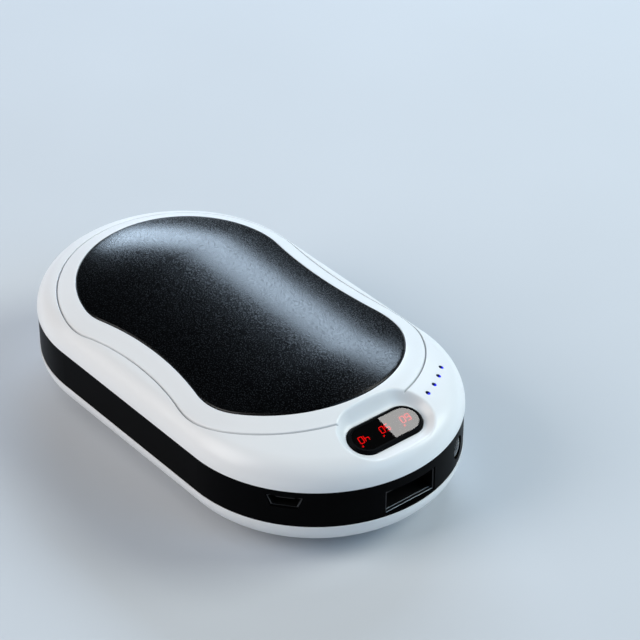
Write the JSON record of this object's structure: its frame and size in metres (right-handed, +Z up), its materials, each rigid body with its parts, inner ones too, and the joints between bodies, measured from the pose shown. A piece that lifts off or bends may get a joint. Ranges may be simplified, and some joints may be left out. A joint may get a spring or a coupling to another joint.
{
  "type": "rechargeable hand warmer",
  "caption": "Pebble-shaped rechargeable hand warmer: white shells with black heating plates, a black band with power sockets and a torch, and a press-button temperature display.",
  "frame": {"origin": "centre of the body's plan, on the surface that the lower heat plate's flat rests on", "axes": "+Z up, +X towards the end with the display button and the power outlet, +Y across"},
  "size_m": [0.111, 0.063, 0.0301],
  "materials": {
    "shell_white": "satin moulded white",
    "band_black": "satin moulded black",
    "plate_black": "black anodised, fine grain",
    "plate_glue": "cured adhesive",
    "heater_film": "amber polyimide film",
    "sensor_bead": "epoxy bead",
    "insulation": "felted pad",
    "lead_red": "silicone lead",
    "cell_wrap": "shrink-wrapped cell",
    "cradle_grey": "moulded grey",
    "nickel": "nickel strip",
    "board_green": "solder mask",
    "chip_black": "moulded package",
    "ferrite": "ferrite block",
    "capacitor_can": "drawn can",
    "screw_steel": "zinc plated",
    "socket_metal": "nickel plated sheet",
    "socket_black": "moulded black",
    "contact_gold": "gold flash",
    "torch_lens": "clear moulded lens",
    "torch_led": "phosphor dome",
    "light_guide": "clear moulded guide",
    "indicator_blue": "blue lamp",
    "button_black": "gloss black",
    "window_smoke": "smoked clear window",
    "light_box_black": "moulded black",
    "digit_red": "lit red",
    "plunger_cream": "moulded"
  },
  "bodies": {
    "case": {"top_shell": "shell_white", "bottom_shell": "shell_white", "mid_band": "band_black", "top_heat_plate": "plate_black", "bottom_heat_plate": "plate_black", "top_plate_glue": "plate_glue", "bottom_plate_glue": "plate_glue", "top_heater_film": "heater_film", "bottom_heater_film": "heater_film", "heat_sensor": "sensor_bead", "top_insulation_pad": "insulation", "bottom_insulation_pad": "insulation", "top_heater_leads": "lead_red", "bottom_heater_leads": "lead_red", "battery_lead": "lead_red", "battery_cell_left": "cell_wrap", "battery_cell_right": "cell_wrap", "bottom_cell_cradle": "cradle_grey", "top_cell_cradle": "cradle_grey", "front_cell_strip": "nickel", "rear_cell_strip": "nickel", "main_board": "board_green", "torch_led_plate": "board_green", "display_board": "board_green", "control_chip": "chip_black", "switch_body": "chip_black", "boost_inductor": "ferrite", "capacitors": "capacitor_can", "board_screws": "screw_steel", "case_screws": "screw_steel", "display_board_screws": "screw_steel", "usb_a_shell": "socket_metal", "micro_usb_shell": "socket_metal", "usb_a_tongue": "socket_black", "micro_usb_tongue": "socket_black", "usb_a_contacts": "contact_gold", "display_pins": "contact_gold", "torch_lens": "torch_lens", "torch_led": "torch_led", "indicator_light_guide": "light_guide", "indicator_leds": "indicator_blue", "display_light_box": "light_box_black", "digit_segments": "digit_red"},
    "button": {"button_cap": "button_black", "display_window": "window_smoke"},
    "plunger": {"switch_plunger": "plunger_cream"}
  },
  "joints": [
    {"name": "button_press", "type": "slide", "parent": "case", "child": "button", "axis": [-0.2504, 0, -0.9681], "range_m": [0, 0.0004], "stiffness_N_per_m": 2000, "springref_m": -0.0002},
    {"name": "plunger_press", "type": "slide", "parent": "case", "child": "plunger", "axis": [-0.2504, 0, -0.9681], "range_m": [0, 0.0004]}
  ],
  "couplings": [
    {"joint": "plunger_press", "follows": "button_press", "ratio": 1}
  ]
}
